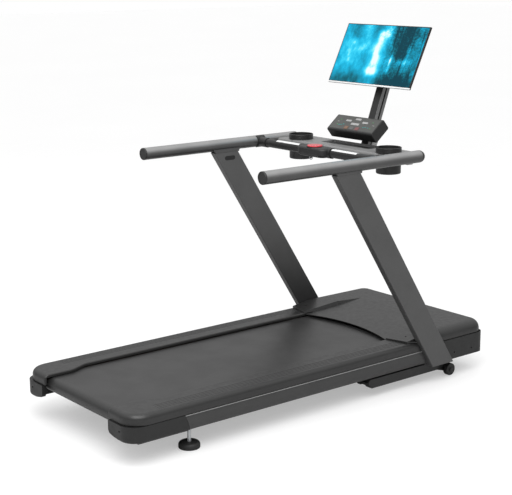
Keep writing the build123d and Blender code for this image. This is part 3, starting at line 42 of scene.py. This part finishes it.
# ---- node helpers ---------------------------------------------------------
class Tree:
    """A material's node tree, with short ways to add nodes."""

    def __init__(self, name):
        self.material = bpy.data.materials.new(name)
        self.material.use_nodes = True
        self.tree = self.material.node_tree
        self.shader = self.tree.nodes["Principled BSDF"]
        self.place = self.add("ShaderNodeTexCoord").outputs["Object"]

    def add(self, kind, **settings):
        node = self.tree.nodes.new(kind)
        for key, value in settings.items():
            setattr(node, key, value)
        return node

    def link(self, source, target):
        self.tree.links.new(source, target)

    def put(self, target, value):
        """Set a socket to a constant, or link an output to it."""
        if isinstance(value, (int, float, tuple, list)):
            target.default_value = value
        else:
            self.link(value, target)

    def math(self, operation, a, b=0.0, c=None):
        node = self.add("ShaderNodeMath", operation=operation)
        self.put(node.inputs[0], a)
        self.put(node.inputs[1], b)
        if c is not None:
            self.put(node.inputs[2], c)
        return node.outputs[0]

    def noise(self, scale, detail=3.0, stretch=None, roughness=0.5, place=None):
        node = self.add("ShaderNodeTexNoise")
        node.inputs["Scale"].default_value = scale
        node.inputs["Detail"].default_value = detail
        node.inputs["Roughness"].default_value = roughness
        source = place or self.place
        if stretch:
            mapping = self.add("ShaderNodeMapping")
            mapping.inputs["Scale"].default_value = stretch
            self.link(source, mapping.inputs["Vector"])
            source = mapping.outputs[0]
        self.link(source, node.inputs["Vector"])
        return node.outputs["Fac"]

    def ramp(self, source, low, high, a=0.0, b=1.0):
        """Map source from low..high to a..b, smoothly, held at the ends."""
        node = self.add("ShaderNodeMapRange", interpolation_type="SMOOTHSTEP")
        for socket, value in zip(node.inputs[1:5], (low, high, a, b)):
            socket.default_value = value
        self.link(source, node.inputs[0])
        return node.outputs[0]

    def mix(self, factor, a, b):
        node = self.add("ShaderNodeMix", data_type="RGBA")
        self.put(node.inputs[0], factor)
        self.put(node.inputs[6], a)
        self.put(node.inputs[7], b)
        return node.outputs[2]

    def shade(self, color, mottle, pattern):
        """A colour that wanders by the share mottle along a pattern."""
        low = tuple(c * (1 - mottle) for c in color[:3]) + (1.0,)
        high = tuple(min(1.0, c * (1 + mottle)) for c in color[:3]) + (1.0,)
        return self.mix(self.ramp(pattern, 0.3, 0.7), low, high)

    def product(self, a, b):
        node = self.add("ShaderNodeMix", data_type="RGBA", blend_type="MULTIPLY")
        node.inputs[0].default_value = 1.0
        self.link(a, node.inputs[6])
        self.link(b, node.inputs[7])
        return node.outputs[2]

    def along(self, origin, direction):
        """Distance from origin along a direction."""
        offset = self.add("ShaderNodeVectorMath", operation="SUBTRACT")
        self.link(self.place, offset.inputs[0])
        offset.inputs[1].default_value = origin
        dot = self.add("ShaderNodeVectorMath", operation="DOT_PRODUCT")
        self.link(offset.outputs[0], dot.inputs[0])
        dot.inputs[1].default_value = direction
        return dot.outputs["Value"]

    def axes(self):
        node = self.add("ShaderNodeSeparateXYZ")
        self.link(self.place, node.inputs[0])
        return node.outputs[0], node.outputs[1], node.outputs[2]

    def bump(self, height, strength, distance, normal=None):
        node = self.add("ShaderNodeBump")
        node.inputs["Strength"].default_value = strength
        node.inputs["Distance"].default_value = distance
        self.link(height, node.inputs["Height"])
        if normal is not None:
            self.link(normal, node.inputs["Normal"])
        return node.outputs[0]


def grey(value):
    return (value, value, value, 1.0)


def tinted(name, color, roughness=0.5, metallic=0.0, mottle=0.05, mottle_scale=9.0,
           grain=1300.0, grain_strength=0.3, stretch=None, edge=0.0008, coat=0.0, patch=None):
    """Material with mottled colour, varied roughness, fine grain and rounded edges.

    patch(tree) may return a mask with the colour, metalness and roughness used inside it."""
    t = Tree(name)
    broad = t.noise(mottle_scale, 4.0)
    fine = t.noise(grain, 2.0, stretch)
    spread = t.noise(mottle_scale * 5, 3.0)
    base = t.shade(color, mottle, broad)
    rough = t.ramp(spread, 0.25, 0.75, roughness * 0.88, min(1.0, roughness * 1.12))
    if patch:
        mask, patch_color, patch_metallic, patch_roughness = patch(t)
        base = t.mix(mask, base, t.shade(patch_color, mottle, broad))
        rough = t.math("ADD", rough, t.math("MULTIPLY", mask, patch_roughness - roughness))
        gain = t.math("MULTIPLY", mask, patch_metallic - metallic)
        t.put(t.shader.inputs["Metallic"], t.math("ADD", gain, metallic))
    else:
        t.shader.inputs["Metallic"].default_value = metallic
    speck = t.mix(t.ramp(fine, 0.35, 0.65), grey(1.0 - mottle), grey(1.0))
    t.link(t.product(base, speck), t.shader.inputs["Base Color"])
    t.link(rough, t.shader.inputs["Roughness"])
    bevel = t.add("ShaderNodeBevel", samples=3)
    bevel.inputs["Radius"].default_value = edge
    t.link(t.bump(fine, grain_strength, 0.00008, bevel.outputs[0]), t.shader.inputs["Normal"])
    t.shader.inputs["Coat Weight"].default_value = coat
    t.shader.inputs["Coat Roughness"].default_value = 0.12
    return t.material


def give(material, *names):
    """Put one material on CAD nodes or pieces."""
    for name in names:
        piece = nodes[name] if isinstance(name, str) else name
        piece.data.materials.clear()
        piece.data.materials.append(material)


# ---- materials ------------------------------------------------------------
TV_TILT = radians(25.9)
RIGHT = Vector((1.0, 0.0, 0.0))
TV_UP = Vector((0.0, sin(TV_TILT), cos(TV_TILT)))
TV_OUT = Vector((0.0, -cos(TV_TILT), sin(TV_TILT)))
FACE_TILT = radians(50.6)
FACE_UP = Vector((0.0, sin(FACE_TILT), cos(FACE_TILT)))
FACE_OUT = Vector((0.0, -cos(FACE_TILT), sin(FACE_TILT)))
screen_low, screen_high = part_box("tv_screen")
screen_centre = (screen_low + screen_high) / 2
screen_width = screen_high.x - screen_low.x
screen_height = (screen_high.z - screen_low.z) / cos(TV_TILT)


def bright_sides(t):
    """The pillar's two slotted sides are paler than its front and back."""
    x = t.axes()[0]
    return t.ramp(t.math("ABSOLUTE", x), 0.0219, 0.0227), grey(0.2), 0.5, 0.4


def silver_chin(t):
    """Silver strip along the lower edge of the television's front."""
    low = t.along(screen_centre, TV_UP)
    edge = -screen_height / 2 - 0.0012
    below = t.ramp(low, edge - 0.0004, edge, 1.0, 0.0)
    front = t.ramp(t.along(screen_centre, TV_OUT), -0.0035, -0.0025)
    return t.math("MULTIPLY", below, front), grey(0.85), 0.1, 0.35


def painted_edge_highlight(t):
    """The side rails' upper edge is paler: a painted highlight."""
    height = t.axes()[2]
    return t.ramp(height, 0.1635, 0.1655), grey(0.4), 0.4, 0.4


def painted_top_highlight(t):
    """The handrails are paler along their upper side: a painted highlight."""
    height = t.axes()[2]
    return t.ramp(height, 1.074, 1.1), grey(0.3), 0.6, 0.33


def painted_foot_shade(t):
    """The left upright is darker towards its foot: painted shade."""
    height = t.axes()[2]
    return t.ramp(height, 0.15, 0.75, 1.0, 0.0), grey(0.022), 0.1, 0.42


cover = tinted("cover_plastic", grey(0.02), 0.38)
cap = tinted("cap_plastic", grey(0.009), 0.45)
# the side rails' upper edge carries a painted highlight
rail_steel = tinted("rail_steel", grey(0.05), 0.38, 0.3, grain_strength=0.1, patch=painted_edge_highlight)
frame_steel = tinted("frame_steel", grey(0.02), 0.45, 0.2)
upright_paint = tinted("upright_paint", grey(0.075), 0.42, 0.1, edge=0.0012)
# the far upright uses a shaded copy of the upright paint, with painted shade darkening it towards
# its foot
far_upright_paint_and_painted_shade = tinted("far_upright_paint_and_painted_shade", grey(0.09), 0.42, 0.1, edge=0.0012,
                           patch=painted_foot_shade)
# the handrails' upper side carries a painted highlight
handrail_paint = tinted("handrail_paint", grey(0.09), 0.33, 0.6, grain_strength=0.08,
                        patch=painted_top_highlight)
bright_steel = tinted("bright_steel", grey(0.55), 0.25, 1.0, grain=500.0,
                      stretch=(0.02, 1.0, 1.0), mottle=0.1)
zinc = tinted("zinc", (0.6, 0.62, 0.64, 1.0), 0.3, 0.4, grain=700.0, mottle=0.1)
dark_screw = tinted("dark_screw", grey(0.02), 0.4, 0.6, grain=700.0)
# pulse plates: light steel, made near-white in part by a painted reflection of the bright
# surroundings
sensor_metal = tinted("sensor_metal", grey(0.85), 0.3, 0.25, grain_strength=0.1)
black_rubber = tinted("black_rubber", grey(0.014), 0.6, grain_strength=0.5)
stop_red = tinted("stop_red", (0.72, 0.05, 0.07, 1.0), 0.28, coat=0.6)
key_orange = tinted("key_orange", (0.17, 0.09, 0.055, 1.0), 0.4, edge=0.0003)
key_grey = tinted("key_grey", grey(0.09), 0.4, edge=0.0003)
key_red = tinted("key_red", (0.17, 0.06, 0.06, 1.0), 0.4, edge=0.0003)
tray_plastic = tinted("tray_plastic", grey(0.2), 0.42)
cup_plastic = tinted("cup_plastic", grey(0.016), 0.4)
bar_paint = tinted("bar_paint", grey(0.016), 0.4, 0.2)
console_plastic = tinted("console_plastic", grey(0.012), 0.45)
panel_film = tinted("panel_film", (0.056, 0.058, 0.054, 1.0), 0.34, mottle=0.1, edge=0.0002)
pillar_metal = tinted("pillar_aluminium", grey(0.035), 0.35, 0.3, stretch=(1.0, 1.0, 0.05),
                      edge=0.0003, patch=bright_sides)
bracket_paint = tinted("bracket_paint", grey(0.42), 0.4, 0.3)
tv_plastic = tinted("tv_plastic", grey(0.012), 0.3, edge=0.0004, patch=silver_chin)
motor_case = tinted("motor_case", grey(0.03), 0.4, 0.5)
bare_casting = tinted("controller_metal", grey(0.45), 0.45, 0.9, grain=300.0, mottle=0.1)
deck_wood = tinted("deck_wood", (0.03, 0.024, 0.02, 1.0), 0.5, mottle=0.25, grain=260.0,
                   stretch=(1.0, 0.03, 1.0))
display_glass = tinted("display_glass", grey(0.34), 0.25, mottle=0.1, grain=300.0, edge=0.0002)
mark_teal = tinted("mark_teal", (0.02, 0.2, 0.2, 1.0), 0.4, mottle=0.08, edge=0.0002)
mark_green = tinted("mark_green", (0.05, 0.22, 0.07, 1.0), 0.4, mottle=0.08, edge=0.0002)
mark_grey = tinted("mark_grey", grey(0.3), 0.4, mottle=0.08, edge=0.0002)


WEAVE = 2600.0              # radians of the belt's weave per metre


def belt_material():
    """Running belt: dark weave, a little lighter in patches towards the middle."""
    t = Tree("belt_rubber")
    x, y = t.axes()[:2]
    broad = t.noise(3.0, 5.0, (1.0, 0.35, 1.0))
    middle = t.ramp(t.math("ABSOLUTE", x), 0.05, 0.27, 1.0, 0.0)
    lighter_middle = t.math("MULTIPLY", middle, t.ramp(broad, 0.3, 0.75))
    t.link(t.mix(t.math("MULTIPLY", lighter_middle, 0.4), grey(0.02), grey(0.026)),
           t.shader.inputs["Base Color"])
    across = t.math("SINE", t.math("MULTIPLY", x, WEAVE))
    down = t.math("SINE", t.math("MULTIPLY", y, WEAVE))
    pebbles = t.noise(700.0, 2.0)
    height = t.math("ADD", t.math("MULTIPLY", t.math("MULTIPLY", across, down), 0.4), pebbles)
    t.link(t.bump(height, 0.25, 0.00015), t.shader.inputs["Normal"])
    t.link(t.ramp(t.noise(6.0, 4.0), 0.3, 0.7, 0.34, 0.42), t.shader.inputs["Roughness"])
    return t.material


def picture_material():
    """A misty blue forest, painted by position on the screen."""
    t = Tree("tv_picture")
    u = t.math("DIVIDE", t.along(screen_centre, RIGHT), screen_width)
    v = t.math("DIVIDE", t.along(screen_centre, TV_UP), screen_height)
    plane = t.add("ShaderNodeCombineXYZ")
    t.link(u, plane.inputs[0])
    t.link(v, plane.inputs[1])
    flat = plane.outputs[0]
    leaves = t.noise(16.0, 8.0, (1.0, 0.6, 1.0), 0.75, flat)
    mist = t.noise(5.0, 4.0, (2.0, 0.7, 1.0), 0.6, flat)
    trunks = t.noise(9.0, 2.0, (4.0, 0.15, 1.0), 0.5, flat)
    ragged = t.math("MULTIPLY", t.math("SUBTRACT", leaves, 0.5), 0.5)

    def column(centre, half, low, high, level):
        """Soft upright patch of light, ragged like foliage at its edges."""
        off = t.math("ABSOLUTE", t.math("SUBTRACT", u, centre))
        wide = t.ramp(t.math("ADD", off, t.math("MULTIPLY", ragged, half)), 0.0, half, level, 0.0)
        tall = t.math("MULTIPLY", t.ramp(v, low - 0.12, low), t.ramp(v, high, high + 0.12, 1.0, 0.0))
        return t.math("MULTIPLY", wide, tall)

    light = t.math("ADD", t.ramp(mist, 0.3, 0.7, 0.44, 0.68), ragged)
    for patch in ((-0.02, 0.13, -0.3, 0.36, 0.34), (-0.03, 0.05, -0.1, 0.33, 0.2),
                  (-0.36, 0.14, -0.12, 0.2, 0.2), (-0.21, 0.14, 0.1, 0.5, 0.16),
                  (0.06, 0.08, 0.36, 0.5, 0.3), (0.17, 0.035, -0.22, -0.05, 0.45),
                  (0.36, 0.06, -0.25, 0.1, 0.28), (-0.02, 0.16, -0.5, -0.3, 0.34)):
        light = t.math("ADD", light, column(*patch))
    for tree in ((0.27, 0.24, 0.0, 0.5, 0.5), (-0.1, 0.08, 0.25, 0.5, 0.16),
                 (0.3, 0.3, -0.5, -0.2, 0.3), (-0.33, 0.1, 0.3, 0.5, 0.2)):
        light = t.math("SUBTRACT", light, column(*tree))
    canopy = t.noise(38.0, 9.0, (1.0, 0.8, 1.0), 0.8, flat)
    reach = t.math("ADD", t.ramp(u, 0.0, 0.16), t.ramp(v, 0.05, 0.5, 0.0, 0.6))
    light = t.math("SUBTRACT", light, t.math("MULTIPLY", reach, t.ramp(canopy, 0.42, 0.6, 0.0, 0.2)))
    bark = t.math("MULTIPLY", t.ramp(u, 0.05, 0.2), t.ramp(trunks, 0.52, 0.6, 0.0, 0.25))
    light = t.math("SUBTRACT", light, bark)
    light = t.math("SUBTRACT", light, t.ramp(v, -0.47, -0.22, 0.36, 0.0))
    ramp = t.add("ShaderNodeValToRGB")
    stops = ramp.color_ramp.elements
    stops[0].position = 0.0
    stops[0].color = (0.003, 0.05, 0.075, 1.0)
    stops[1].position = 1.0
    stops[1].color = (0.9, 1.0, 1.0, 1.0)
    for place, color in ((0.2, (0.005, 0.15, 0.21, 1.0)), (0.42, (0.007, 0.32, 0.5, 1.0)),
                         (0.62, (0.012, 0.52, 0.82, 1.0)), (0.76, (0.05, 0.72, 1.0, 1.0)),
                         (0.88, (0.3, 0.95, 1.0, 1.0))):
        stops.new(place).color = color
    t.link(light, ramp.inputs[0])
    t.link(ramp.outputs[0], t.shader.inputs["Emission Color"])
    t.shader.inputs["Emission Strength"].default_value = 1.0
    t.shader.inputs["Base Color"].default_value = (0.004, 0.008, 0.01, 1.0)
    t.shader.inputs["Specular IOR Level"].default_value = 0.03
    t.link(t.ramp(mist, 0.3, 0.7, 0.3, 0.4), t.shader.inputs["Roughness"])
    return t.material


give(cover, "foot_rail_right", "foot_rail_left", "motor_hood", "hood_wings")
give(cap, "rear_cap_right", "rear_cap_left", "front_skirt", "upright_plugs")
give(rail_steel, "side_rail_right", "side_rail_left")
give(frame_steel, "cross_members", "lift_frame", "tv_bracket")
give(upright_paint, "upright_right", "handrail_saddles")
give(far_upright_paint_and_painted_shade, "upright_left")
give(handrail_paint, "handrail_right", "handrail_left")
give(cup_plastic, "cup_holders", "handrail_end_caps")
give(bar_paint, "crossbar", "crossbar_collars")
give(sensor_metal, "pulse_plates")
give(black_rubber, "deck_cushions", "tray_mat", "drive_belt", "wheel_right", "wheel_left",
     "foot_pad_right", "foot_pad_left")
give(bright_steel, "front_roller", "rear_roller", "roller_axles", "motor_pulley", "lift_rod")
give(zinc, "belt_adjusting_bolts", "upright_bolts", "lanyard_hook", "foot_stud_right",
     "foot_stud_left")
give(dark_screw, "cover_screws")
give(stop_red, "stop_button", "power_switch")
give(key_orange, "start_key")
give(key_grey, "mode_key")
give(key_red, "stop_key")
give(console_plastic, "stop_housing", "console_shell", "power_inlet")
give(panel_film, "console_panel")
give(tray_plastic, "tray")
give(pillar_metal, "pillar")
give(bracket_paint, "pillar_base")
give(tv_plastic, "tv_shell")
give(motor_case, "motor", "lift_motor")
give(bare_casting, "motor_controller")
give(deck_wood, "deck_board")
give(belt_material(), "running_belt")
give(picture_material(), "tv_screen")


# ---- displays and small marks on the console's panel ----------------------
def plate_mesh(bm, centre, width, height, corner, thick):
    """Thin plate with rounded corners and a rounded upper edge, on the console's face."""
    steps = 4
    rings = []
    for inset, rise in ((0.0, 0.0), (0.0, thick * 0.6), (thick * 0.4, thick)):
        r = max(corner - inset, corner * 0.3)
        ring = []
        for cx, cy, start in ((1, 1, 0), (-1, 1, 90), (-1, -1, 180), (1, -1, 270)):
            for k in range(steps + 1):
                angle = radians(start + 90.0 * k / steps)
                a = cx * (width / 2 - inset - r) + r * cos(angle)
                b = cy * (height / 2 - inset - r) + r * sin(angle)
                ring.append(bm.verts.new(centre + RIGHT * a + FACE_UP * b + FACE_OUT * rise))
        rings.append(ring)
    count = len(rings[0])
    for low, high in zip(rings, rings[1:]):
        for k in range(count):
            n = (k + 1) % count
            bm.faces.new((low[k], low[n], high[n], high[k]))
    bm.faces.new(rings[-1])
    bm.faces.new(list(reversed(rings[0])))


FACE_LOW = Vector((0.0, 0.502, 1.154))  # middle of the lower edge of the console's face
SINK = 0.0004               # the panel lies this far below the face


def face_point(u, v):
    """Point on the panel's surface, u to the right and v up the face."""
    return FACE_LOW + RIGHT * u + FACE_UP * v - FACE_OUT * SINK


def marks(name, material, size, corner, thick, places):
    """One piece made of equal small plates on the console's face."""
    bm = bmesh.new()
    for u, v in places:
        plate_mesh(bm, face_point(u, v), size[0], size[1], corner, thick)
    mesh = bpy.data.meshes.new(name)
    bm.to_mesh(mesh)
    bm.free()
    piece = bpy.data.objects.new(name, mesh)
    scene.collection.objects.link(piece)
    mesh.materials.append(material)
    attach(piece, "frame")


marks("console_displays", display_glass, (0.036, 0.011), 0.001, 0.0005,
      ((-0.053, 0.061), (0.003, 0.075), (0.059, 0.059)))
marks("console_main_display", display_glass, (0.052, 0.013), 0.001, 0.0005, ((0.002, 0.044),))
marks("console_arc_left", mark_teal, (0.009, 0.005), 0.002, 0.0004,
      ((-0.069, 0.036), (-0.081, 0.031), (-0.094, 0.029)))
marks("console_arc_right", mark_teal, (0.009, 0.005), 0.002, 0.0004,
      ((0.068, 0.030), (0.081, 0.033), (0.098, 0.031)))
marks("console_arc_ends", mark_green, (0.007, 0.005), 0.002, 0.0004,
      ((-0.108, 0.032), (0.115, 0.028), (-0.105, 0.064), (0.106, 0.066)))
marks("console_dashes", mark_grey, (0.013, 0.003), 0.001, 0.0004,
      ((-0.115, 0.050), (0.122, 0.048)))

# ---- room -----------------------------------------------------------------
FLOOR_HALF = 40.0
FLOOR_GLOW = 0.41           # light the floor gives off, for the camera only
corners = [(x * FLOOR_HALF, y * FLOOR_HALF, 0) for x, y in ((-1, -1), (1, -1), (1, 1), (-1, 1))]
floor_mesh = bpy.data.meshes.new("floor")
floor_mesh.from_pydata(corners, [], [(0, 1, 2, 3)])
floor = bpy.data.objects.new("floor", floor_mesh)
scene.collection.objects.link(floor)
floor.location.z = -0.0005
floor_paint = tinted("floor_paint", grey(0.55), 0.7, mottle=0.01, mottle_scale=0.5, grain=40.0,
                     grain_strength=0.02)
floor_shader = floor_paint.node_tree.nodes["Principled BSDF"]
floor_shader.inputs["Emission Color"].default_value = grey(1.0)
seen = floor_paint.node_tree.nodes.new("ShaderNodeLightPath")
glow = floor_paint.node_tree.nodes.new("ShaderNodeMath")
glow.operation = "MULTIPLY"
glow.inputs[1].default_value = FLOOR_GLOW
floor_paint.node_tree.links.new(seen.outputs["Is Camera Ray"], glow.inputs[0])
floor_paint.node_tree.links.new(glow.outputs[0], floor_shader.inputs["Emission Strength"])
floor_mesh.materials.append(floor_paint)

SKY_LOW, SKY_HIGH = 0.22, 1.3   # strength at the horizon and overhead
world = bpy.data.worlds.new("studio")
scene.world = world
world.use_nodes = True
tree = world.node_tree
background = tree.nodes["Background"]
direction = tree.nodes.new("ShaderNodeTexCoord")
split = tree.nodes.new("ShaderNodeSeparateXYZ")
tree.links.new(direction.outputs["Generated"], split.inputs[0])
rise = tree.nodes.new("ShaderNodeMapRange")
for socket, value in zip(rise.inputs[1:5], (0.0, 0.9, SKY_LOW, SKY_HIGH)):
    socket.default_value = value
tree.links.new(split.outputs["Z"], rise.inputs[0])
path = tree.nodes.new("ShaderNodeLightPath")
choose = tree.nodes.new("ShaderNodeMix")
tree.links.new(path.outputs["Is Camera Ray"], choose.inputs[0])
tree.links.new(rise.outputs[0], choose.inputs[2])
choose.inputs[3].default_value = 1.0
tree.links.new(choose.outputs[0], background.inputs["Strength"])
background.inputs["Color"].default_value = (1.0, 1.0, 1.0, 1.0)


def area_light(name, place, aim, size, power):
    data = bpy.data.lights.new(name, "AREA")
    data.shape = "RECTANGLE"
    data.size, data.size_y = size
    data.energy = power
    light = bpy.data.objects.new(name, data)
    light.location = place
    light.rotation_euler = (Vector(aim) - Vector(place)).to_track_quat("-Z", "Y").to_euler()
    scene.collection.objects.link(light)


area_light("key", (2.2, -2.0, 4.0), (0, 0, 0.6), (3.6, 3.6), 150.0)

# ---- camera ---------------------------------------------------------------
CAMERA_PLACE = (4.3003, -3.4777, 1.9215)
CAMERA_RIGHT = (0.6237, 0.7816, -0.0055)
CAMERA_AHEAD = (-0.7631, 0.6074, -0.2206)
camera_data = bpy.data.cameras.new("camera")
camera_data.lens = 88.83
camera_data.sensor_width = 36.0
camera_data.clip_end = 200.0
camera = bpy.data.objects.new("camera", camera_data)
right = Vector(CAMERA_RIGHT).normalized()
ahead = Vector(CAMERA_AHEAD).normalized()
up = right.cross(ahead).normalized()
right = ahead.cross(up).normalized()
spin = Matrix((right, up, -ahead)).transposed().to_4x4()
camera.matrix_world = Matrix.Translation(CAMERA_PLACE) @ spin
scene.collection.objects.link(camera)
scene.camera = camera

scene.view_settings.view_transform = "Standard"
